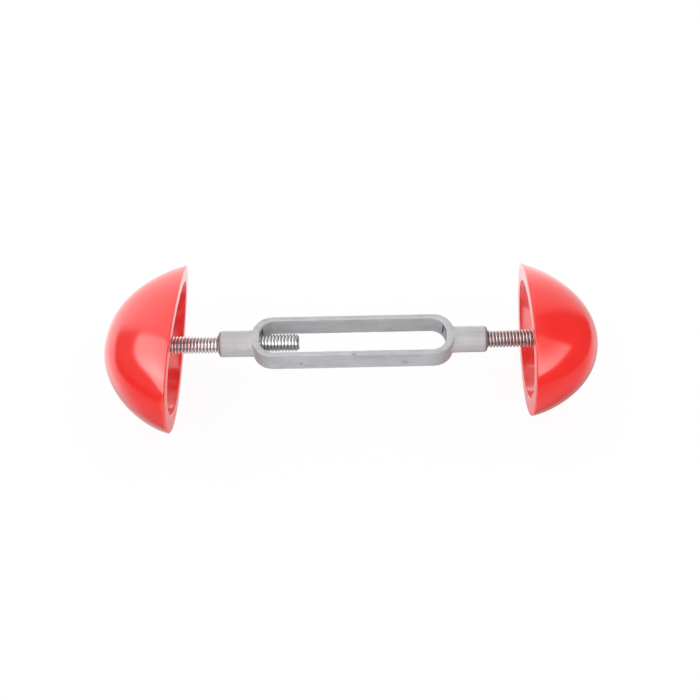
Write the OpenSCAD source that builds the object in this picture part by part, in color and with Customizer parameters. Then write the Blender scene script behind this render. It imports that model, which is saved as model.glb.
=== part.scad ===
// Shoe stretcher: two egg-shaped end caps on threaded studs, which screw into the two
// ends of an open turnbuckle frame. X runs along the studs and +Z is up. The origin is
// the middle of the frame on the studs' axis. All lengths are in millimetres.

/* [Turnbuckle frame] */
// Length of the frame over both bosses
frame_l = 80; // [74:1:100]
// Length of the open loop between the bosses
loop_l = 60; // [50:1:68]
// Size of the loop across its two bars
loop_across = 13.6; // [12:0.2:20]
// Width of the bars, square to the loop's plane
bar_w = 7.8; // [6:0.2:12]
// Thickness of the two long bars
bar_t = 1.5; // [1:0.1:2.4]
// Thickness of the loop's end walls
end_wall = 2.2; // [1.5:0.1:4]
// Corner radius of the loop as a share of half its size across
loop_corner_share = 0.88; // [0.5:0.02:0.96]
// Wall of the tapped bosses around the studs
boss_wall = 1.3; // [1:0.1:3]
// Step of the small collar where a boss leaves the loop
collar_step = 0.3; // [0.1:0.05:0.6]
// Length of that collar
collar_l = 1.2; // [0.6:0.1:3]
// Chamfer at the boss ends
boss_chamfer = 0.6; // [0.2:0.05:0.9]
// Countersink in the boss ends
countersink = 0.4; // [0.1:0.05:0.6]

/* [Threaded studs] */
// Outer diameter of the studs
stud_d = 5.2; // [4:0.1:7]
// Length of the left stud
left_stud_l = 51; // [40:1:60]
// Length of the right stud
right_stud_l = 37; // [34:1:60]
// Thread pitch
thread_pitch = 1; // [0.8:0.05:1.5]
// Thread depth
thread_depth = 0.6; // [0.3:0.05:0.8]
// Least length of the plain point at each end of a stud
stud_point_l = 0.8; // [0.4:0.1:2]
// Radial running clearance around a stud
run_clearance = 0.07; // [0.05:0.01:0.1]

/* [Left cap] */
// Distance from the frame's middle to the left cap's rim, along the studs
left_reach = 52.4; // [49:0.2:60]
// Length of the left cap's rim, from broad to narrow end
left_cap_l = 51; // [46:1:60]
// Greatest width of the left cap's rim
left_cap_w = 44; // [40:1:52]
// Height of the left cap's dome over its rim
left_cap_h = 21.8; // [20:0.2:28]
// How much broader one end of the left cap is, as a share
left_egg_share = 0.36; // [0.05:0.01:0.45]
// Distance of the stud from the middle of the left rim, towards the narrow end
left_stud_shift = 0.6; // [0:0.1:3]
// Angle by which the left rim leans inwards, in degrees
left_lean = 6.5; // [0:0.5:10]

/* [Right cap] */
// Distance from the frame's middle to the right cap's rim, along the studs
right_reach = 51.8; // [49:0.2:60]
// Length of the right cap's rim, from broad to narrow end
right_cap_l = 45.7; // [42:1:60]
// Greatest width of the right cap's rim
right_cap_w = 43.5; // [40:1:52]
// Height of the right cap's dome over its rim
right_cap_h = 21.4; // [20:0.2:28]
// How much broader one end of the right cap is, as a share
right_egg_share = 0.17; // [0.05:0.01:0.45]
// Distance of the stud from the middle of the right rim, towards the narrow end
right_stud_shift = 0.1; // [0:0.1:3]
// Angle by which the right rim leans inwards, in degrees
right_lean = 2.5; // [0:0.5:10]

/* [Both caps] */
// Fullness of the domes: 2 is an ellipse, less is more pointed
dome_power = 1.7; // [1.4:0.05:2.4]
// Wall at the top of the dome
cap_wall = 2.5; // [1.5:0.1:3.5]
// Width of the flat land around the rim
rim_land = 5.3; // [3:0.1:7]
// Angle of the caps' narrow ends over the horizontal, in degrees
cap_set = 13; // [0:1:30]
// Direction in which the rims lean, over the horizontal, in degrees
lean_set = 30; // [0:1:60]
// Depth of the hub's face below the rim
hub_face_depth = 7; // [6:0.5:9]
// Depth of the stud's end below the rim
stud_sunk = 14.7; // [13:0.1:16]
// Wall of the hub around the nut's corners
hub_wall = 1.8; // [1:0.1:3]
// Depth of the ribs' edges below the rim
rib_face_depth = 10; // [8:0.5:13]
// Thickness of the ribs
rib_t = 1.6; // [1:0.1:3]

/* [Captive nuts] */
// Wall of the nut between stud and flats
nut_wall = 1.4; // [1.2:0.1:2.5]
// Thickness of the nut
nut_t = 4; // [3:0.1:5]
// Clearance around the nut in its pocket
nut_clearance = 0.1; // [0.05:0.01:0.2]
// Depth of the nut's face below the hub's face
nut_recess = 0.4; // [0:0.1:1]
// Chamfer on the nut's corners
nut_chamfer = 0.5; // [0.2:0.1:0.8]

/* [Hidden] */

stud_r = stud_d / 2;
bore_r = stud_r + run_clearance;
boss_r = stud_r + boss_wall;
nut_r = stud_r + nut_wall;
// How far a cutting tool runs past the face that it cuts
overrun = 1;
// Gap between the end of a stud and the bottom of its hole
hole_end_gap = 0.5;
// Corner radius of a hexagon whose flats are 1 from its middle
hex_corner_share = 1 / cos(30);

// Points of one thread turn: how far up the turn each lies, and its share of the depth
thread_rise_shares = [0, 0.35, 0.5, 0.85];
thread_depth_shares = [0, 1, 1, 0];
thread_rows = len(thread_rise_shares);
thread_sides = 14;
// Step from the thread's root to the plain point
point_step = 0.08;

// Steps around a cap and from its rim to the top of its dome
cap_sides = 60;
cap_rows = 12;
rib_steps = 8;

smooth = 64;

frame_colour = [0.68, 0.68, 0.7];
stud_colour = [0.8, 0.8, 0.82];
cap_colour = [0.95, 0.22, 0.19];
nut_colour = [0.74, 0.74, 0.76];

// Radius and height on a dome's section, as shares of its base and height
function round_share(angle) = pow(cos(angle), 2 / dome_power);
function rise_share(angle) = pow(sin(angle), 2 / dome_power);

// Height of a dome at a distance from its axis
function dome_height(r, base_r, height) =
    height * pow(1 - pow(r / base_r, dome_power), 1 / dome_power);

// Largest value of sin(u) * (1 + egg * cos(u)), which the outline's width is divided by
function egg_width(egg) =
    let (c = (sqrt(1 + 8 * egg * egg) - 1) / (4 * egg))
    sqrt(1 - c * c) * (1 + egg * c);

// Point of an egg outline: along its axis to the narrow end, and across
function egg_point(length, width, egg, u) = [
    -length / 2 * cos(u),
    width / 2 / egg_width(egg) * sin(u) * (1 + egg * cos(u))
];

// The same point turned to its place about the stud, and moved along X by the rim's lean
function rim_point(length, width, egg, shift, lean, u) =
    let (
        flat = egg_point(length, width, egg, u) - [shift, 0],
        y = flat[0] * cos(cap_set) - flat[1] * sin(cap_set),
        z = flat[0] * sin(cap_set) + flat[1] * cos(cap_set)
    )
    [-tan(lean) * (y * cos(lean_set) + z * sin(lean_set)), y, z];

// Rows of points from a rim to the top of its dome, with the top itself as the last point
function dome_points(length, width, egg, shift, lean, height) = [
    for (row = [0:cap_rows - 1]) let (angle = 90 * row / cap_rows)
        for (side = [0:cap_sides - 1])
            rim_point(length, width, egg, shift, lean, 360 * side / cap_sides)
                * round_share(angle) + [height * rise_share(angle), 0, 0],
    [height, 0, 0]
];

// Triangles of such a dome, whose points start at the number first
function dome_faces(first) = [
    for (row = [0:cap_rows - 2], side = [0:cap_sides - 1])
        let (
            a = first + row * cap_sides + side,
            b = first + row * cap_sides + (side + 1) % cap_sides
        )
        each [[a, b, b + cap_sides], [a, b + cap_sides, a + cap_sides]],
    for (side = [0:cap_sides - 1])
        let (last = first + (cap_rows - 1) * cap_sides)
        [last + side, last + (side + 1) % cap_sides, first + cap_rows * cap_sides]
];

function turned_over(faces) = [for (face = faces) [face[0], face[2], face[1]]];

// A hollow dome with a flat land around its rim
module cap_shell(length, width, egg, shift, lean, height) {
    outer = dome_points(length, width, egg, shift, lean, height);
    inner = dome_points(
        length - 2 * rim_land, width - 2 * rim_land, egg, shift, lean, height - cap_wall
    );
    second = len(outer);
    land = [
        for (side = [0:cap_sides - 1]) let (next = (side + 1) % cap_sides)
            each [[side, second + side, second + next], [side, second + next, next]]
    ];
    polyhedron(
        points = concat(outer, inner),
        faces = concat(dome_faces(0), turned_over(dome_faces(second)), land)
    );
}

// A rib from the hub's axis to the middle of the wall, in the plane of X and the rib
module rib(reach, height, slope) {
    middle_r = reach - rim_land / 2;
    middle_h = height - cap_wall / 2;
    from = asin(pow(rib_face_depth / middle_h, dome_power / 2));
    edge = [
        for (step = [0:rib_steps]) let (angle = from + (90 - from) * step / rib_steps)
            let (r = middle_r * round_share(angle))
            [middle_h * rise_share(angle) - slope * r, r]
    ];
    rotate([90, 0, 0])
        linear_extrude(height = rib_t, center = true)
            polygon(concat([[rib_face_depth, 0]], edge));
}

// A cap seen as the right one: hollow dome, hub, ribs and the hub's hole and nut pocket
module cap(length, width, egg, shift, lean, height) {
    side_reach = width / 2 / egg_width(egg);
    hub_r = (nut_r + nut_clearance) * hex_corner_share + hub_wall;
    hub_edge = (
        dome_height(hub_r, side_reach, height)
        + dome_height(hub_r, side_reach - rim_land, height - cap_wall)
    ) / 2;
    slope = tan(lean) * cos(lean_set - cap_set);
    side_slope = tan(lean) * sin(lean_set - cap_set);
    pocket_t = nut_recess + nut_t + nut_clearance;
    difference() {
        union() {
            cap_shell(length, width, egg, shift, lean, height);
            rotate([0, 90, 0])
                rotate_extrude($fn = smooth)
                    polygon([
                        [0, hub_face_depth],
                        [hub_r, hub_face_depth],
                        [hub_r, hub_edge],
                        [0, height - cap_wall / 2]
                    ]);
            rotate([cap_set - 90, 0, 0]) {
                rib(length / 2 - shift, height, slope);
                rotate([180, 0, 0]) rib(length / 2 + shift, height, -slope);
                rotate([90, 0, 0]) rib(side_reach, height, side_slope);
                rotate([-90, 0, 0]) rib(side_reach, height, -side_slope);
            }
        }
        translate([hub_face_depth - overrun, 0, 0])
            rotate([0, 90, 0])
                cylinder(
                    r = bore_r,
                    h = stud_sunk + hole_end_gap - hub_face_depth + overrun,
                    $fn = smooth
                );
        translate([hub_face_depth - overrun, 0, 0])
            rotate([0, 90, 0])
                cylinder(
                    r = (nut_r + nut_clearance) * hex_corner_share,
                    h = pocket_t + overrun,
                    $fn = 6
                );
    }
}

// The captive hexagon nut, with its place in a right cap's hub
module cap_nut() {
    corner_r = nut_r * hex_corner_share;
    translate([hub_face_depth + nut_recess, 0, 0])
        rotate([0, 90, 0])
            difference() {
                intersection() {
                    cylinder(r = corner_r, h = nut_t, $fn = 6);
                    rotate_extrude($fn = smooth)
                        polygon([
                            [0, 0],
                            [corner_r - nut_chamfer, 0],
                            [corner_r, nut_chamfer],
                            [corner_r, nut_t - nut_chamfer],
                            [corner_r - nut_chamfer, nut_t],
                            [0, nut_t]
                        ]);
                }
                translate([0, 0, -overrun])
                    cylinder(r = bore_r, h = nut_t + 2 * overrun, $fn = smooth);
            }
}

// Right-hand threaded rod along +X from the origin. Its rows of points climb with the
// helix: row thread_rows at the first side is row 0 at one side past the last.
module threaded_rod(length) {
    turns = floor((length - 2 * stud_point_l) / thread_pitch) - 1;
    point_l = (length - (turns + 1) * thread_pitch) / 2;
    rows = turns * thread_rows;
    root_r = stud_r - thread_depth;

    function at(side, row) =
        let (
            turn = floor(row / thread_rows),
            part = row % thread_rows,
            r = root_r + thread_depth * thread_depth_shares[part],
            angle = 360 * side / thread_sides
        )
        [
            point_l + thread_pitch * (turn + thread_rise_shares[part] + side / thread_sides),
            r * cos(angle), r * sin(angle)
        ];
    function ring(x) = [
        for (side = [0:thread_sides - 1]) let (angle = 360 * side / thread_sides)
            [x, (root_r - point_step) * cos(angle), (root_r - point_step) * sin(angle)]
    ];
    // The first side has one turn of rows more than the others
    function number(side, row) =
        side == thread_sides ? row + thread_rows
        : side == 0 ? row
        : rows + thread_rows + 1 + (side - 1) * (rows + 1) + row;
    start = number(thread_sides - 1, rows) + 1;
    end = start + thread_sides;

    points = concat(
        [for (row = [0:rows + thread_rows]) at(0, row)],
        [for (side = [1:thread_sides - 1], row = [0:rows]) at(side, row)],
        ring(0),
        ring(length)
    );
    flanks = [
        for (side = [0:thread_sides - 1], row = [0:rows - 1])
            let (
                a = number(side, row), b = number(side, row + 1),
                c = number(side + 1, row + 1), d = number(side + 1, row)
            )
            each [[a, b, c], [a, c, d]]
    ];
    start_point = [
        for (side = [0:thread_sides - 1])
            let (
                a = start + side, b = start + (side + 1) % thread_sides,
                c = number(side, 0), d = number(side + 1, 0)
            )
            each [[a, c, d], [a, d, b]],
        for (row = [0:thread_rows - 1]) [start, row + 1, row],
        for (side = [1:thread_sides - 2]) [start, start + side, start + side + 1]
    ];
    end_point = [
        for (side = [0:thread_sides - 1])
            let (
                a = end + side, b = end + (side + 1) % thread_sides,
                c = number(side, rows), d = number(side + 1, rows)
            )
            each [[c, a, b], [c, b, d]],
        for (row = [rows:rows + thread_rows - 1]) [end, row, row + 1],
        for (side = [1:thread_sides - 2]) [end, end + side + 1, end + side]
    ];
    polyhedron(points = points, faces = concat(flanks, start_point, end_point));
}

module rounded_outline(length, width, corner_r) {
    square([length - 2 * corner_r, width], center = true);
    square([length, width - 2 * corner_r], center = true);
    for (x = [-1, 1], y = [-1, 1])
        translate([x * (length / 2 - corner_r), y * (width / 2 - corner_r)])
            circle(r = corner_r, $fn = smooth);
}

// A tapped boss with its collar and countersink, from inside the end wall outwards
module boss() {
    from = loop_l / 2 - end_wall / 2;
    to = frame_l / 2;
    rotate([0, 90, 0])
        rotate_extrude($fn = smooth)
            polygon([
                [bore_r, from],
                [boss_r + collar_step, from],
                [boss_r + collar_step, loop_l / 2 + collar_l / 2],
                [boss_r, loop_l / 2 + collar_l],
                [boss_r, to - boss_chamfer],
                [boss_r - boss_chamfer, to],
                [bore_r + countersink, to],
                [bore_r, to - countersink]
            ]);
}

module turnbuckle_frame() {
    corner_r = loop_across / 2 * loop_corner_share;
    color(frame_colour) {
        difference() {
            linear_extrude(height = bar_w, center = true)
                difference() {
                    rounded_outline(loop_l, loop_across, corner_r);
                    rounded_outline(
                        loop_l - 2 * end_wall, loop_across - 2 * bar_t, corner_r - bar_t
                    );
                }
            rotate([0, 90, 0])
                cylinder(r = bore_r, h = loop_l + 2 * overrun, center = true, $fn = smooth);
        }
        boss();
        mirror([1, 0, 0]) boss();
    }
}

module right_stud() {
    color(stud_colour)
        translate([right_reach + stud_sunk - right_stud_l, 0, 0])
            threaded_rod(right_stud_l);
}

// The left end is a mirror image, which makes its thread left-handed
module left_stud() {
    color(stud_colour)
        mirror([1, 0, 0])
            translate([left_reach + stud_sunk - left_stud_l, 0, 0])
                threaded_rod(left_stud_l);
}

module right_cap() {
    color(cap_colour)
        translate([right_reach, 0, 0])
            cap(
                right_cap_l, right_cap_w, right_egg_share, right_stud_shift,
                right_lean, right_cap_h
            );
}

module left_cap() {
    color(cap_colour)
        mirror([1, 0, 0])
            translate([left_reach, 0, 0])
                cap(
                    left_cap_l, left_cap_w, left_egg_share, left_stud_shift,
                    left_lean, left_cap_h
                );
}

module right_cap_nut() {
    color(nut_colour) translate([right_reach, 0, 0]) cap_nut();
}

module left_cap_nut() {
    color(nut_colour) mirror([1, 0, 0]) translate([left_reach, 0, 0]) cap_nut();
}

turnbuckle_frame();
left_stud();
right_stud();
left_cap();
right_cap();
left_cap_nut();
right_cap_nut();
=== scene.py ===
import math
import bmesh
import bpy
from mathutils import Matrix, Vector, noise


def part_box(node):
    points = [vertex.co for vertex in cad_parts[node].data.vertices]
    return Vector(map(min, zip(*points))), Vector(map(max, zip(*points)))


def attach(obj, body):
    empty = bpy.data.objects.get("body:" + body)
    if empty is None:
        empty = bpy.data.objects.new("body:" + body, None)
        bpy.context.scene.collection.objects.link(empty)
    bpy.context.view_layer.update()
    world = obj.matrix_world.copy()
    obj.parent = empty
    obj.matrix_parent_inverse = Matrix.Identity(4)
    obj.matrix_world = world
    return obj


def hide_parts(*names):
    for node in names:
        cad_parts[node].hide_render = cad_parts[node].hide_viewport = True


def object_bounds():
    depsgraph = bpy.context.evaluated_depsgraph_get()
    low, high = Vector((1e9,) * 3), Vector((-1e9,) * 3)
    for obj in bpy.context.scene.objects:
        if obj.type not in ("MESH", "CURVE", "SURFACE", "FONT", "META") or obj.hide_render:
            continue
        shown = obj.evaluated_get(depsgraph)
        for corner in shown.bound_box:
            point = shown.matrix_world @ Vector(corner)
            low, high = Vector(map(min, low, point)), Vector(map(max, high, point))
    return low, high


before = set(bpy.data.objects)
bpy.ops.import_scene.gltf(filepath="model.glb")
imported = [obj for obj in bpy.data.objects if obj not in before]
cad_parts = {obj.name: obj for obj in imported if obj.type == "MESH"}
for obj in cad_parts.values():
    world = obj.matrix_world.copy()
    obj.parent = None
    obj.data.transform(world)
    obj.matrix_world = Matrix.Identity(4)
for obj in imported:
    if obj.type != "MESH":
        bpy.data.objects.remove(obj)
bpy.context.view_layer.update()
MM = 0.001

# The two studs are zinc-plated steel rods with a coarse rolled thread from end to end:
# left-hand on the left and right-hand on the right, so that turning the frame moves both
# caps in or out. The right one is coloured darker and browner outside its boss.
stud_low, stud_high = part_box("right_stud")
stud_r = (stud_high.y - stud_low.y) / 2
thread_pitch = 1.0 * MM
thread_depth = 0.6 * MM
stud_point_r = 1.85 * MM
# How much deeper the right stud starts in its boss than its plain solid does
right_stud_sunk = 1.6 * MM
# Heights of one turn of the thread, evenly spaced along it, as shares of its depth
thread_shares = [0.0, 0.45, 0.95, 1.0, 1.0, 1.0, 0.9, 0.4]
thread_sides = 48
spare_turns = 2
cut_slack = 0.0001 * MM
stud_colour = (0.80, 0.80, 0.81, 1)
# Painted shade: the colour that darkens the thread's grooves
groove_shade_colour = (0.62, 0.62, 0.63, 1)
outer_dark_colour = (0.50, 0.45, 0.45, 1)
outer_dark_from = 34 * MM
outer_dark_to = 41 * MM
plate_blotch = 1.6 * MM
plate_grain = 0.25 * MM
plate_relief = 0.02 * MM


def solid(name, points, faces):
    """A new object made of points and faces."""
    mesh = bpy.data.meshes.new(name)
    mesh.from_pydata(points, [], faces)
    shape = bpy.data.objects.new(name, mesh)
    bpy.context.scene.collection.objects.link(shape)
    return shape


def thread(name, start, end, hand, root_r, crest_r, point_r):
    """A threaded rod along X from start to end. Its rows of points climb with the helix."""
    steps = len(thread_shares)
    first = math.floor(start / thread_pitch) - spare_turns
    last = math.ceil(end / thread_pitch) + spare_turns
    rows = (last - first) * steps
    points = []
    for row in range(rows):
        for side in range(thread_sides):
            angle = 2 * math.pi * side / thread_sides
            x = thread_pitch * (first + row / steps + hand * side / thread_sides)
            radius = root_r + (crest_r - root_r) * thread_shares[row % steps]
            radius = min(radius, point_r + max(0, min(x - start, end - x)))
            points.append((x, radius * math.cos(angle), radius * math.sin(angle)))
    faces = []
    for row in range(rows - 1):
        for side in range(thread_sides):
            climb = hand * steps if side == thread_sides - 1 else 0
            beside = (side + 1) % thread_sides
            if 0 <= row + climb and row + 1 + climb < rows:
                faces.append((
                    row * thread_sides + side,
                    row * thread_sides + thread_sides + side,
                    (row + 1 + climb) * thread_sides + beside,
                    (row + climb) * thread_sides + beside,
                ))
    rod = solid(name, points, faces)
    flesh = bmesh.new()
    flesh.from_mesh(rod.data)
    for x, way in ((start, -1), (end, 1)):
        bmesh.ops.bisect_plane(
            flesh, geom=flesh.verts[:] + flesh.edges[:] + flesh.faces[:], dist=cut_slack,
            plane_co=(x, 0, 0), plane_no=(way, 0, 0), clear_outer=True,
        )
    rims = [edge for edge in flesh.edges if edge.is_boundary]
    bmesh.ops.holes_fill(flesh, edges=rims, sides=0)
    bmesh.ops.recalc_face_normals(flesh, faces=flesh.faces[:])
    flesh.to_mesh(rod.data)
    flesh.free()
    return rod


def smooth(shape, sharp_angle):
    """Shades a piece smooth, but for edges that turn by more than sharp_angle."""
    shape.data.shade_smooth()
    shape.data.set_sharp_from_angle(angle=math.radians(sharp_angle))


class Wire:
    """A socket in a material's nodes. Sums of wires add their Math nodes."""

    def __init__(self, tree, socket=None):
        self.tree = tree
        self.socket = socket

    def node(self, kind, settings=None, sockets=None, out=0):
        made = self.tree.nodes.new("ShaderNode" + kind)
        for name, value in (settings or {}).items():
            setattr(made, name, value)
        for name, value in (sockets or {}).items():
            if isinstance(value, Wire):
                self.tree.links.new(value.socket, made.inputs[name])
            else:
                made.inputs[name].default_value = value
        return Wire(self.tree, made.outputs[out] if made.outputs else None)

    def output(self, name):
        return Wire(self.tree, self.socket.node.outputs[name])

    def math(self, operation, first, second=0.0):
        return self.node("Math", {"operation": operation}, {0: first, 1: second})

    def __add__(self, other):
        return self.math("ADD", self, other)

    def __sub__(self, other):
        return self.math("SUBTRACT", self, other)

    def __rsub__(self, other):
        return self.math("SUBTRACT", other, self)

    def __mul__(self, other):
        return self.math("MULTIPLY", self, other)

    def __truediv__(self, other):
        return self.math("DIVIDE", self, other)

    def __pow__(self, other):
        return self.math("POWER", self, other)

    __radd__ = __add__
    __rmul__ = __mul__

    def between(self, low, high):
        """0 where this value is low, 1 where it is high, and smooth in between."""
        limits = {"Value": self, "From Min": low, "From Max": high}
        return self.node("MapRange", {"interpolation_type": "SMOOTHSTEP"}, limits)

    def mixed(self, first, second):
        """The first colour where this value is 0 and the second where it is 1."""
        return self.node("Mix", {"data_type": "RGBA"}, {0: self, 6: first, 7: second}, 2)


def material(name):
    """A new material, its first wire and the place on the piece."""
    made = bpy.data.materials.new(name)
    made.use_nodes = True
    made.node_tree.nodes.clear()
    start = Wire(made.node_tree)
    return made, start, start.node("TexCoord", out="Object")


def speckle(at, size, detail=2.0):
    """Smooth noise from 0 to 1, with grains of that size."""
    grain = {"Vector": at, "Scale": 1 / size, "Detail": detail, "Roughness": 0.55}
    return at.node("TexNoise", sockets=grain)


def off_axis(place):
    """How far a point lies from the studs' axis."""
    across = place.output("Y")
    up = place.output("Z")
    return (across * across + up * up) ** 0.5


zinc_plate, start, at = material("zinc_plate")
place = at.node("SeparateXYZ", sockets={0: at})
raised = off_axis(place).between(stud_r - thread_depth, stud_r - 0.2 * thread_depth)
blotch = speckle(at, plate_blotch)
zinc_bump = start.node("Bump", sockets={
    "Height": speckle(at, plate_grain, 3.0), "Strength": 0.25, "Distance": plate_relief,
})
# Darker and browner colour, and more roughness, on the right stud outside its boss
outer_darkening = place.output("X").between(outer_dark_from, outer_dark_to)
# Painted shade: the thread's grooves are coloured darker than its crests
shaded_plate_colour = raised.mixed(groove_shade_colour, stud_colour)
zinc = start.node("BsdfPrincipled", sockets={
    "Base Color": (0.8 * outer_darkening).mixed(shaded_plate_colour, outer_dark_colour),
    "Metallic": 1.0,
    "Roughness": 0.30 - 0.16 * raised + 0.08 * blotch + 0.1 * outer_darkening,
    "Normal": zinc_bump,
})
start.node("OutputMaterial", sockets={"Surface": zinc})

for side, hand, sunk in (("left", -1, 0), ("right", 1, right_stud_sunk)):
    low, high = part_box(side + "_stud")
    stud = thread(
        side + "_stud_rod", low.x + sunk, high.x, hand,
        stud_r - thread_depth, stud_r, stud_point_r,
    )
    smooth(stud, 70)
    stud.data.materials.append(zinc_plate)
    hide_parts(side + "_stud")
    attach(stud, side + "_screw")

# The turnbuckle frame is one grey die casting: two flat bars that join a boss at each
# end, with round edges, an uneven skin and a few dark marks. The bosses are tapped
# afterwards and sunk at their mouths. Inside, the bores carry painted shade, near black,
# and each boss's end carries a darker band of painted reflection of the red cap.
frame_low, frame_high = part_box("turnbuckle_frame")
frame_l = frame_high.x - frame_low.x
loop_across = frame_high.y - frame_low.y
loop_l = 60 * MM
bar_w = 7.8 * MM
bar_t = 1.5 * MM
end_wall = 2.2 * MM
loop_corner_share = 0.88
loop_corner_r = loop_corner_share * loop_across / 2
corner_steps = 16
boss_wall = 1.3 * MM
boss_r = stud_r + boss_wall
collar_step = 0.08 * MM
collar_r = boss_r + collar_step
collar_l = 1.2 * MM
boss_chamfer = 0.6 * MM
countersink = 0.4 * MM
window_sink = 1.4 * MM
tap_clearance = 0.07 * MM
tap_depth = 0.45 * MM
turned_sides = 96
# How far a cutting tool runs past the face that it cuts
overrun = 1 * MM
cast_grain = 0.2 * MM
cast_wave = 0.025 * MM
cast_wave_l = 2.5 * MM
cast_ripple_l = 0.9 * MM
rounding_passes = 10
kept_share = 0.35
cloud_size = 6 * MM
pit_size = 0.5 * MM
scratch_size = 0.35 * MM
streak_size = 0.7 * MM
cast_relief = 0.05 * MM
# Places across the studs between which the near bar's marked face fades out
near_face_low = -6.4 * MM
near_face_high = -6.0 * MM
bore_shade_fade = 1 * MM
end_reflection_l = 0.9 * MM
end_reflection_full_l = 0.4 * MM
casting_colour = (0.485, 0.495, 0.51, 1)
tarnish_colour = (0.43, 0.44, 0.455, 1)
# Colour of the casting's marks, and of the painted reflection at the bosses' ends
mark_and_reflection_colour = (0.24, 0.245, 0.26, 1)
bore_shade_colour = (0.06, 0.06, 0.065, 1)
mark_core = 0.2
mark_edge = 1.3
# Marks on the near bar's outer face: x, z, half length and half width in millimetres,
# and darkness
casting_marks = [
    (-15.5, -0.6, 0.5, 0.9, 0.7),
    (-12.6, -2.0, 2.6, 0.35, 0.55),
    (-7.0, -2.2, 3.0, 0.3, 0.3),
    (0.2, 3.7, 0.9, 0.5, 0.6),
    (15.4, -1.0, 1.2, 0.7, 0.6),
    (8.0, -2.4, 4.0, 0.3, 0.25),
]


def rounded_outline(length, width, corner_r):
    """Points of a rectangle with round corners, going round once."""
    outline = []
    for quarter in range(4):
        middle = math.pi * (quarter / 2 + 0.25)
        x = math.copysign(length / 2 - corner_r, math.cos(middle))
        y = math.copysign(width / 2 - corner_r, math.sin(middle))
        for step in range(corner_steps + 1):
            angle = math.pi / 2 * (quarter + step / corner_steps)
            outline.append((x + corner_r * math.cos(angle), y + corner_r * math.sin(angle)))
    return outline


def turned(name, profile, sides):
    """A body turned about the studs' axis, from a profile of (x, radius) points."""
    points = [(profile[0][0], 0, 0), (profile[-1][0], 0, 0)]
    for x, radius in profile:
        for side in range(sides):
            angle = 2 * math.pi * side / sides
            points.append((x, radius * math.cos(angle), radius * math.sin(angle)))
    faces = []
    last = 2 + (len(profile) - 1) * sides
    for side in range(sides):
        beside = (side + 1) % sides
        faces.append((0, 2 + beside, 2 + side))
        faces.append((1, last + side, last + beside))
        for row in range(len(profile) - 1):
            a = 2 + row * sides
            faces.append((a + side, a + beside, a + sides + beside, a + sides + side))
    return outwards(solid(name, points, faces))


def outwards(shape):
    """Turns a closed shape's faces to look outwards."""
    flesh = bmesh.new()
    flesh.from_mesh(shape.data)
    bmesh.ops.recalc_face_normals(flesh, faces=flesh.faces[:])
    flesh.to_mesh(shape.data)
    flesh.free()
    return shape


def settled(shape):
    """Turns a shape's modifiers into its mesh."""
    graph = bpy.context.evaluated_depsgraph_get()
    mesh = bpy.data.meshes.new_from_object(shape.evaluated_get(graph))
    shape.modifiers.clear()
    shape.data = mesh
    return shape


def combined(shape, other, operation):
    """Joins, cuts or intersects a shape with another one, which is used up."""
    step = shape.modifiers.new("step", "BOOLEAN")
    step.solver = "EXACT"
    step.operation = operation
    step.object = other
    settled(shape)
    bpy.data.objects.remove(other)
    return shape


outer = rounded_outline(loop_l, loop_across, loop_corner_r)
inner = rounded_outline(loop_l - 2 * end_wall, loop_across - 2 * bar_t, loop_corner_r - bar_t)
count = len(outer)
loop_points = [(x, y, z) for z in (-bar_w / 2, bar_w / 2) for x, y in outer + inner]
loop_faces = []
for corner in range(count):
    beside = (corner + 1) % count
    for a, b in ((0, 2 * count), (2 * count, 3 * count), (3 * count, count), (count, 0)):
        loop_faces.append((a + corner, a + beside, b + beside, b + corner))
casting = outwards(solid("frame_casting", loop_points, loop_faces))

mouth = frame_l / 2
boss_profile = [
    (loop_l / 2 - end_wall / 2, collar_r),
    (loop_l / 2 + collar_l / 2, collar_r),
    (loop_l / 2 + collar_l, boss_r),
    (mouth - boss_chamfer, boss_r),
    (mouth, boss_r - boss_chamfer),
]
for way in (-1, 1):
    boss = turned("boss", [(way * x, radius) for x, radius in boss_profile], turned_sides)
    combined(casting, boss, "UNION")

skin = casting.modifiers.new("skin", "REMESH")
skin.mode = "VOXEL"
skin.voxel_size = cast_grain
rounding = casting.modifiers.new("rounding", "SMOOTH")
rounding.factor = 0.5
rounding.iterations = rounding_passes
thinning = casting.modifiers.new("thinning", "DECIMATE")
thinning.ratio = kept_share
settled(casting)
normals = [point.normal.copy() for point in casting.data.vertices]
for point, normal in zip(casting.data.vertices, normals):
    wave = noise.noise(point.co / cast_wave_l) + 0.5 * noise.noise(point.co / cast_ripple_l)
    point.co += normal * cast_wave * wave

tap_r = stud_r + tap_clearance
tap_root_r = tap_r - tap_depth
window_end = loop_l / 2 - end_wall
for way in (-1, 1):
    ends = sorted((way * (window_end - overrun), way * (mouth + overrun)))
    tap = thread("tap", ends[0], ends[1], way, tap_root_r, tap_r, tap_r)
    combined(casting, tap, "DIFFERENCE")
    sink = turned("sink", [
        (way * (mouth - countersink), tap_r - countersink),
        (way * (mouth + overrun), tap_r + overrun),
    ], turned_sides)
    combined(casting, sink, "DIFFERENCE")
    window_mouth = turned("window_mouth", [
        (way * (window_end + window_sink), tap_root_r),
        (way * (window_end - overrun), tap_root_r + window_sink + overrun),
    ], turned_sides)
    combined(casting, window_mouth, "DIFFERENCE")
smooth(casting, 40)


def drawn_out(at, share):
    """The place on the piece, with what is along X counted at a share of its length."""
    return at.node("Mapping", sockets={"Vector": at, "Scale": (share, 1, 1)})


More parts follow.
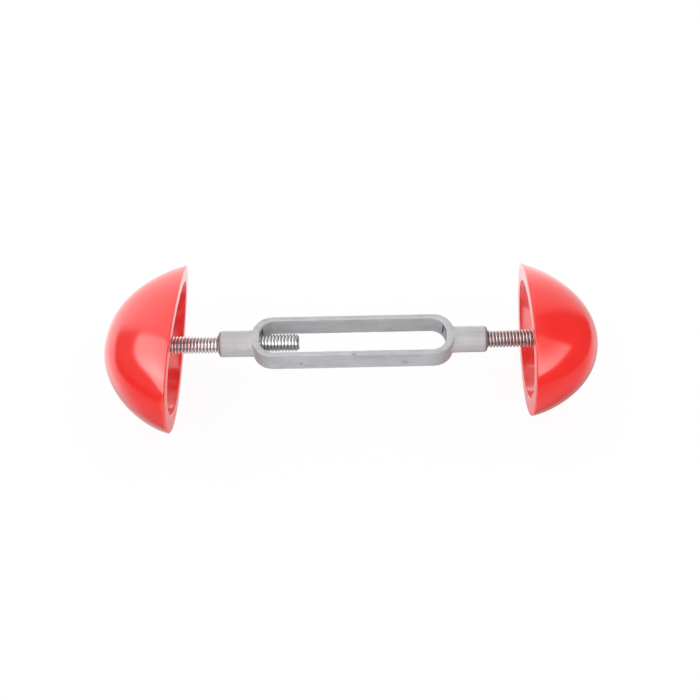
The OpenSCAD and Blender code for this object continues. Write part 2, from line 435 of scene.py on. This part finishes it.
cast_metal, start, at = material("cast_metal")
cloud = speckle(at, cloud_size, 3.0)
pits = speckle(at, pit_size, 4.0)
scratches = speckle(drawn_out(at, 0.12), scratch_size).between(0.62, 0.78)
streaks = speckle(drawn_out(at, 0.08), streak_size).between(0.5, 0.72)
cast_bump = start.node("Bump", sockets={
    "Height": pits - 0.5 * scratches, "Strength": 0.45, "Distance": cast_relief,
})
dullness = cloud.between(0.35, 0.7)
place = at.node("SeparateXYZ", sockets={0: at})
near_face = 1 - place.output("Y").between(near_face_low, near_face_high)
# Painted shade: the tapped bores are coloured near black inside
bore_shade = 1 - off_axis(place).between(tap_r, tap_r + bore_shade_fade)
# Painted reflection: a darker band round each boss's end, where the red cap is reflected
end_distance = place.output("X").math("ABSOLUTE", place.output("X"))
painted_end_reflection = end_distance.between(mouth - end_reflection_l, mouth - end_reflection_full_l)
marks_and_reflection = 0.3 * streaks + 0.7 * painted_end_reflection
for x, z, half_l, half_w, dark in casting_marks:
    along = (place.output("X") - x * MM) / (half_l * MM)
    aside = (place.output("Z") - z * MM) / (half_w * MM)
    mark = 1 - (along * along + aside * aside).between(mark_core, mark_edge)
    marks_and_reflection = marks_and_reflection + dark * near_face * mark
marked_and_reflected_colour = marks_and_reflection.mixed(dullness.mixed(casting_colour, tarnish_colour), mark_and_reflection_colour)
cast = start.node("BsdfPrincipled", sockets={
    "Base Color": bore_shade.mixed(marked_and_reflected_colour, bore_shade_colour),
    "Metallic": 0.4,
    "Roughness": 0.52 + 0.06 * cloud + 0.08 * pits,
    "Normal": cast_bump,
})
start.node("OutputMaterial", sockets={"Surface": cast})
casting.data.materials.append(cast_metal)
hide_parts("turnbuckle_frame")
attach(casting, "frame")

# The nuts are plain zinc-plated hexagon nuts with chamfered corners. Each is pressed into
# the pocket in a cap's hub, and the stud is screwed into it.
nut_across = 8.0 * MM
nut_chamfer = 0.5 * MM
nut_corner_r = nut_across / 2 / math.cos(math.pi / 6)
nut_colour = (0.72, 0.72, 0.74, 1)
nut_grain = 0.4 * MM
nut_blotch = 2 * MM
nut_relief = 0.03 * MM

nut_steel, start, at = material("nut_steel")
nut_bump = start.node("Bump", sockets={
    "Height": speckle(at, nut_grain, 3.0), "Strength": 0.3, "Distance": nut_relief,
})
nut_finish = start.node("BsdfPrincipled", sockets={
    "Base Color": nut_colour,
    "Metallic": 1.0,
    "Roughness": 0.26 + 0.14 * speckle(at, nut_blotch),
    "Normal": nut_bump,
})
start.node("OutputMaterial", sockets={"Surface": nut_finish})

for side, hand in (("left", -1), ("right", 1)):
    low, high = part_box(side + "_cap_nut")
    nut = turned(side + "_hexagon_nut", [(low.x, nut_corner_r), (high.x, nut_corner_r)], 6)
    rounds = turned("rounds", [
        (low.x, nut_corner_r - nut_chamfer),
        (low.x + nut_chamfer / 2, nut_corner_r),
        (high.x - nut_chamfer / 2, nut_corner_r),
        (high.x, nut_corner_r - nut_chamfer),
    ], turned_sides)
    combined(nut, rounds, "INTERSECT")
    tap = thread("tap", low.x - overrun, high.x + overrun, hand, tap_root_r, tap_r, tap_r)
    combined(nut, tap, "DIFFERENCE")
    smooth(nut, 30)
    nut.data.materials.append(nut_steel)
    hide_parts(side + "_cap_nut")
    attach(nut, side + "_end")

# The end caps are injection mouldings in glossy red plastic: hollow egg-shaped domes with
# a broad flat land around the rim. Inside, a hub with a hexagon pocket holds the nut, and
# four ribs join the hub to the wall.
dome_power = 2.2
dome_slope = 0.75
cap_wall = 2.5 * MM
rim_land = 5.3 * MM
rim_round = 0.3 * MM
cap_set = math.radians(13)
lean_set = math.radians(30)
hub_depth = 7 * MM
stud_sunk = 14.7 * MM
hub_wall = 1.8 * MM
rib_depth = 10 * MM
rib_t = 1.6 * MM
nut_recess = 0.4 * MM
pocket_clearance = 0.1 * MM
foot_round = 0.8 * MM
edge_round = 0.35 * MM
# How far the feet of the hub and of the ribs run on into the wall
hub_foot_sunk = 0.4 * MM
rib_foot_sunk = 0.5 * MM
hub_top_r = 2 * MM
# Least height of a rib beyond its rounded edge and foot
rib_least = 0.1 * MM
rib_step = 0.4 * MM
rib_run_in = 1.8 * MM
hole_end_gap = 0.5 * MM
hole_sides = 64
cap_sides = 180
cap_rows = 40
edge_steps = 4
hub_foot_steps = 6
rib_foot_steps = 5
moulding_colour = (0.93, 0.021, 0.016, 1)
swirl_colour = (0.90, 0.019, 0.014, 1)
swirl_size = 9 * MM
peel_size = 1.1 * MM
peel_relief = 0.02 * MM
handling_size = 3 * MM
land_slack = 0.05 * MM
# The land is dullest at the first of these places across the studs, glossiest at the other
land_dull_y = -20 * MM
land_gloss_y = 16 * MM


class Cap:
    """The sizes of one cap. Its points are at (y, z) across the studs, and x into the dome."""

    def __init__(self, side, way, length, width, height, egg, shift, lean, tilt):
        nut_low, nut_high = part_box(side + "_cap_nut")
        self.side = side
        self.way = way
        self.length = length
        self.width = width
        self.height = height
        self.egg = egg
        self.shift = shift
        self.lean = math.radians(lean)
        self.tilt = tilt
        nut_face = nut_low.x if way > 0 else -nut_high.x
        self.reach = nut_face - nut_recess - hub_depth
        widest = (math.sqrt(1 + 8 * egg * egg) - 1) / (4 * egg)
        self.egg_width = math.sqrt(1 - widest ** 2) * (1 + egg * widest)

    def rim(self, inset, u):
        """(x, y, z) of the rim, inset from its outer edge, at the angle u round the egg."""
        along = -(self.length / 2 - inset) * math.cos(u) - self.shift
        aside = (self.width / 2 - inset) / self.egg_width * math.sin(u)
        aside *= 1 + self.egg * math.cos(u)
        y = along * math.cos(cap_set) - aside * math.sin(cap_set)
        z = along * math.sin(cap_set) + aside * math.cos(cap_set)
        return Vector((-self.set_back(y, z), y, z))

    def set_back(self, y, z):
        """How far the leaning rim's plane lies back from its middle at (y, z)."""
        return math.tan(self.lean) * (y * math.cos(lean_set) + z * math.sin(lean_set))

    def dome(self, inset, share, u):
        """A point of a dome at a share of the way from its axis to its rim."""
        height = self.height - (cap_wall if inset else 0)
        fall = share ** (dome_power + self.tilt * math.cos(u))
        rise = height * max(0, 1 - fall) ** dome_slope
        return self.rim(inset, u) * share + Vector((rise, 0, 0))

    def placed(self, point):
        """Where a point of the cap lies on the whole object."""
        return (self.way * (self.reach + point.x), point.y, point.z)

    def wall(self, radius, angle):
        """The inner wall's point in a direction across the studs' axis."""
        sought = math.remainder(angle - cap_set, 2 * math.pi)
        low, high = 0, 2 * math.pi
        for halving in range(24):
            u = (low + high) / 2
            rim = self.rim(rim_land, u)
            found = math.remainder(math.atan2(rim.z, rim.y) - cap_set, 2 * math.pi)
            if found > sought:
                low = u
            else:
                high = u
        return self.dome(rim_land, radius / math.hypot(rim.y, rim.z), u)


def cap_shell(cap):
    """The hollow dome with its land, as rows of points from the outer to the inner top."""
    quarter = math.pi / 2
    shares = [math.sin(quarter * row / cap_rows) for row in range(1, cap_rows)]
    turns = [2 * math.pi * side / cap_sides for side in range(cap_sides)]
    points = [Vector((cap.height, 0, 0))]
    for share in shares:
        points += [cap.dome(0, share, u) for u in turns]
    for step in range(edge_steps + 1):
        angle = quarter * step / edge_steps
        inset = rim_round * (1 - math.cos(angle))
        rise = Vector((rim_round * (1 - math.sin(angle)), 0, 0))
        points += [cap.rim(inset, u) + rise for u in turns]
    for step in range(edge_steps + 1):
        angle = quarter * step / edge_steps
        inset = rim_land - rim_round * (1 - math.sin(angle))
        rise = Vector((rim_round * (1 - math.cos(angle)), 0, 0))
        points += [cap.rim(inset, u) + rise for u in turns]
    for share in reversed(shares):
        points += [cap.dome(rim_land, share, u) for u in turns]
    points.append(Vector((cap.height - cap_wall, 0, 0)))
    faces = []
    rings = (len(points) - 2) // cap_sides
    for side in range(cap_sides):
        beside = (side + 1) % cap_sides
        faces.append((0, 1 + side, 1 + beside))
        for ring in range(rings - 1):
            a = 1 + ring * cap_sides
            faces.append((
                a + side, a + cap_sides + side, a + cap_sides + beside, a + beside,
            ))
        a = 1 + (rings - 1) * cap_sides
        faces.append((a + side, len(points) - 1, a + beside))
    return outwards(solid(cap.side + "_cap_moulding", [cap.placed(p) for p in points], faces))


def arc(steps, r, way_in, way_along):
    """Steps of a quarter turn, as (sideways, along) distances from its first point."""
    turns = [math.pi / 2 * step / steps for step in range(steps + 1)]
    return [(way_in * r * (1 - math.cos(a)), way_along * r * math.sin(a)) for a in turns]


def lofted(name, sections):
    """A closed body through rings of points that all have the same number of points."""
    count = len(sections[0])
    points = [point for section in sections for point in section]
    faces = [tuple(range(count)), tuple(range(len(points) - count, len(points)))]
    for row in range(len(sections) - 1):
        for corner in range(count):
            a = row * count + corner
            b = row * count + (corner + 1) % count
            faces.append((a, a + count, b + count, b))
    return outwards(solid(name, points, faces))


def cap_hub(cap, hub_r):
    """The hub, whose face has a rounded edge and whose foot flares out on the wall."""
    turns = [2 * math.pi * side / turned_sides for side in range(turned_sides)]
    foot = [cap.wall(hub_r + foot_round, turn).x for turn in turns]
    rings = []
    for inward, along in reversed(arc(edge_steps, edge_round, -1, -1)):
        rings.append([(hub_r + inward, hub_depth + edge_round + along)] * turned_sides)
    for outward, along in arc(hub_foot_steps, foot_round, 1, 1):
        rings.append([(hub_r + outward, x - foot_round + along) for x in foot])
    rings.append([(hub_r + foot_round, x + hub_foot_sunk) for x in foot])
    rings.append([(hub_top_r, cap.height - cap_wall / 2)] * turned_sides)
    return lofted("hub", [
        [
            cap.placed(Vector((x, radius * math.cos(turn), radius * math.sin(turn))))
            for (radius, x), turn in zip(ring, turns)
        ]
        for ring in rings
    ])


def cap_rib(cap, turn, hub_r):
    """A rib from inside the hub into the wall, with a rounded edge and a flared foot."""
    out = Vector((0, math.cos(turn), math.sin(turn)))
    aside = Vector((0, -math.sin(turn), math.cos(turn)))
    half = rib_t / 2
    shallowest = rib_depth + foot_round + edge_round + rib_least
    radius = hub_r - overrun
    places = []
    while cap.wall(radius, turn).x > shallowest:
        places.append((radius, cap.wall(radius, turn).x))
        radius += rib_step
    places.append((places[-1][0] + rib_run_in, places[-1][1]))
    sections = []
    for radius, wall in places:
        side = [(half + foot_round, wall + rib_foot_sunk)]
        for outward, along in reversed(arc(rib_foot_steps, foot_round, 1, 1)):
            side.append((half + outward, wall - foot_round + along))
        for inward, along in arc(edge_steps, edge_round, -1, -1):
            side.append((half + inward, rib_depth + edge_round + along))
        ring = side + [(-w, x) for w, x in reversed(side)]
        sections.append([
            cap.placed(out * radius + aside * w + Vector((x, 0, 0))) for w, x in ring
        ])
    return lofted("rib", sections)


def marked_land(moulding, cap):
    """Marks the points of a cap's flat land, which keeps the mould's duller finish."""
    land = moulding.data.attributes.new("land", "FLOAT", "POINT")
    for mark, point in zip(land.data, moulding.data.vertices):
        depth = cap.way * point.co.x - cap.reach + cap.set_back(point.co.y, point.co.z)
        mark.value = 1.0 if depth < land_slack else 0.0


red_plastic, start, at = material("red_plastic")
swirl = speckle(at, swirl_size)
orange_peel = speckle(at, peel_size, 1.0)
handling = speckle(at, handling_size, 4.0)
shade = swirl.between(0.3, 0.7)
plastic_bump = start.node("Bump", sockets={
    "Height": orange_peel, "Strength": 0.08, "Distance": peel_relief,
})
land = start.node("Attribute", {"attribute_name": "land"}, out="Fac")
place = at.node("SeparateXYZ", sockets={0: at})
dull = land * (0.72 - 0.67 * place.output("Y").between(land_dull_y, land_gloss_y))
plastic = start.node("BsdfPrincipled", sockets={
    "Base Color": shade.mixed(moulding_colour, swirl_colour),
    "Roughness": 0.16 + 0.06 * handling + 0.2 * land,
    "Coat Weight": 1 - dull,
    "Coat Roughness": 0.07,
    "Coat IOR": 1.5,
    "Normal": plastic_bump,
})
start.node("OutputMaterial", sockets={"Surface": plastic})

caps = [
    Cap(
        "left", way=-1, length=51.2 * MM, width=44 * MM, height=21.6 * MM,
        egg=0.36, shift=0.6 * MM, lean=6.5, tilt=-0.19,
    ),
    Cap(
        "right", way=1, length=46.2 * MM, width=43.5 * MM, height=20.9 * MM,
        egg=0.17, shift=0.1 * MM, lean=2.5, tilt=0.17,
    ),
]
for cap in caps:
    nut_low, nut_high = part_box(cap.side + "_cap_nut")
    pocket_r = nut_corner_r + pocket_clearance / math.cos(math.pi / 6)
    pocket_end = nut_recess + (nut_high.x - nut_low.x) + pocket_clearance
    moulding = cap_shell(cap)
    combined(moulding, cap_hub(cap, pocket_r + hub_wall), "UNION")
    for quarter in range(4):
        turn = cap_set + quarter * math.pi / 2
        combined(moulding, cap_rib(cap, turn, pocket_r + hub_wall), "UNION")
    pocket = turned("pocket", [
        (cap.way * (cap.reach + hub_depth - overrun), pocket_r),
        (cap.way * (cap.reach + hub_depth + pocket_end), pocket_r),
    ], 6)
    combined(moulding, pocket, "DIFFERENCE")
    hole = turned("hole", [
        (cap.way * (cap.reach + hub_depth), tap_r),
        (cap.way * (cap.reach + stud_sunk + hole_end_gap), tap_r),
    ], hole_sides)
    combined(moulding, hole, "DIFFERENCE")
    marked_land(moulding, cap)
    smooth(moulding, 35)
    moulding.data.materials.append(red_plastic)
    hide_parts(cap.side + "_cap")
    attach(moulding, cap.side + "_end")

# The stand is a white table under an even white sky, as in a light tent. Only gloss sees
# the studio round it: a broad soft window in front, dark walls below and beside the
# window, and a white backdrop behind.
table_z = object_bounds()[0][2]
table_r = 3.0
studio_r = 1.2
table_white_share = 0.92
sky_light = 1.1
window_soft = 3
floor_soft = 4
table = solid("table", [
    (x * table_r, y * table_r, table_z) for x, y in ((-1, -1), (1, -1), (1, 1), (-1, 1))
], [(0, 1, 2, 3)])
table.visible_glossy = False

white_table, start, at = material("white_table")
ray = start.node("LightPath")
seen = ray.output("Is Camera Ray") + ray.output("Is Glossy Ray")
seen = seen + ray.output("Is Transmission Ray")
matt = start.node("BsdfDiffuse", sockets={"Color": (1, 1, 1, 1)})
shining = start.node("Emission", sockets={"Color": (1, 1, 1, 1), "Strength": 1.0})
start.node("OutputMaterial", sockets={
    "Surface": start.node("MixShader", sockets={0: table_white_share * seen, 1: matt, 2: shining}),
})
table.data.materials.append(white_table)

sky = bpy.data.worlds.new("sky")
bpy.context.scene.world = sky
sky.use_nodes = True
sky.node_tree.nodes.clear()
sky.cycles_visibility.glossy = False
start = Wire(sky.node_tree)
start.node("OutputWorld", sockets={
    "Surface": start.node("Background", sockets={"Color": (1, 1, 1, 1), "Strength": sky_light}),
})

flesh = bmesh.new()
bmesh.ops.create_uvsphere(flesh, u_segments=64, v_segments=32, radius=studio_r)
studio = solid("studio", [], [])
flesh.to_mesh(studio.data)
flesh.free()
studio.visible_camera = False
studio.visible_diffuse = False
studio.visible_shadow = False

studio_walls, start, at = material("studio_walls")
place = at.node("SeparateXYZ", sockets={0: at})
# Directions are in degrees: azimuth from the front, rising to the right, and elevation
# over the level. Brightness is a multiple of plain white.
azimuth = place.output("X").math("ARCTAN2", place.output("X"), 0 - place.output("Y"))
azimuth = azimuth * math.degrees(1)
elevation = place.math("ARCSINE", place.output("Z") / studio_r) * math.degrees(1)
aside = azimuth.math("ABSOLUTE", azimuth)
leftwards = 0 - azimuth
front = azimuth.between(-42, -22) * (1 - azimuth.between(0, 28))

# The broad window in front, with a brighter patch on its left
window_low = 20 - 17 * azimuth.between(-72, -28) + 9 * azimuth.between(35, 80)
window_high = 76 - 19 * azimuth.between(-10, 60)
over_window = elevation.between(window_high - window_soft, window_high + window_soft)
window = elevation.between(window_low - window_soft, window_low + window_soft)
window = window * (1 - over_window)
window = window * azimuth.between(-131, -120) * (1 - azimuth.between(79, 89))
glow = elevation.between(16, 30) * (1 - elevation.between(34, 48))
glow = glow * azimuth.between(-110, -60) * (1 - azimuth.between(-52, -22))
left_light = 2.5 + 0.65 * azimuth.between(-120, -70) + 1.6 * glow
left_light = left_light - 0.55 * elevation.between(40, 60)
right_light = 3.3 - 1.4 * elevation.between(12, 40) - 1.25 * azimuth.between(30, 75)
rightness = azimuth.between(-40, 15)
window_light = left_light * (1 - rightness) + right_light * rightness

# The white backdrop behind
behind = aside.between(122, 134)
behind_light = 1.05 - 0.5 * azimuth.between(60, 120) * (1 - azimuth.between(130, 160))
behind_light = behind_light + 0.35 * aside.between(145, 165) * (1 - elevation.between(-5, 20))
patch = aside.between(162, 178) * elevation.between(-22, 4) * (1 - elevation.between(10, 25))
behind_light = (behind_light + 1.3 * patch) * (0.5 + 0.5 * elevation.between(-72, -45))
behind_light = behind_light * (1 - 0.45 * aside.between(155, 178) * elevation.between(15, 50))

# The floor below the window
floor_top = 11 * leftwards.between(85, 115) - 3 * azimuth.between(30, 90) + 20 * front - 19
over_floor = elevation.between(floor_top - floor_soft, floor_top + floor_soft)
floor = (1 - over_floor) * (1 - behind)
floor_light = 0.22 + 0.85 * leftwards.between(62, 112) + 0.45 * azimuth.between(75, 112)
floor_light = floor_light + 0.85 * front
floor_edge = aside.between(40, 75) * (1 - elevation.between(-62, -38))
floor_light = floor_light * (1 - 0.6 * floor_edge)

# The dark walls, and all four put together
wall_light = 0.05 + 0.17 * elevation.between(-12, 4) * (1 - azimuth.between(-35, -10))
wall_light = wall_light + 0.22 * elevation.between(35, 60) * azimuth.between(60, 90)
studio_light = wall_light * (1 - behind) + window * window_light
studio_light = studio_light + behind * behind_light + floor * floor_light

# A dark card that stands before the window's middle
dark_card = azimuth.between(-19, -9) * (1 - azimuth.between(14, 30))
dark_card = dark_card * elevation.between(-18, -8) * (1 - elevation.between(62, 70))
left_half = 1 - azimuth.between(-6, 4)
card_light = 0.15 + left_half * (0.27 - 0.3 * elevation.between(36, 48))
studio_light = studio_light * (1 - dark_card) + card_light * dark_card
start.node("OutputMaterial", sockets={
    "Surface": start.node("Emission", sockets={"Color": studio_light, "Strength": 1.0}),
})
studio.data.materials.append(studio_walls)

# The camera looks down at 60 degrees from the front. The photograph's axis rises a little
# to the right, and the frame's middle lies just above and to the right of its own.
photo_w = 700
sensor_w = 36
lens_px = 1550
clip_near = 10 * MM
camera_far = 463 * MM
camera_tilt = math.radians(60)
camera_roll = math.radians(1.17)
middle_px = (353, 341.6)

back = Vector((0, -math.cos(camera_tilt), math.sin(camera_tilt)))
level = Vector((1, 0, 0))
rise = back.cross(level)
right = level * math.cos(camera_roll) - rise * math.sin(camera_roll)
upright = level * math.sin(camera_roll) + rise * math.cos(camera_roll)
px = camera_far / lens_px
lens = bpy.data.cameras.new("camera")
lens.sensor_width = sensor_w
lens.lens = sensor_w * lens_px / photo_w
lens.clip_start = clip_near
camera = bpy.data.objects.new("camera", lens)
bpy.context.scene.collection.objects.link(camera)
camera.rotation_mode = "QUATERNION"
camera.rotation_quaternion = Matrix((right, upright, back)).transposed().to_quaternion()
camera.location = (
    back * camera_far
    - right * px * (middle_px[0] - photo_w / 2)
    - upright * px * (photo_w / 2 - middle_px[1])
)
bpy.context.scene.camera = camera
bpy.context.scene.view_settings.view_transform = "Standard"
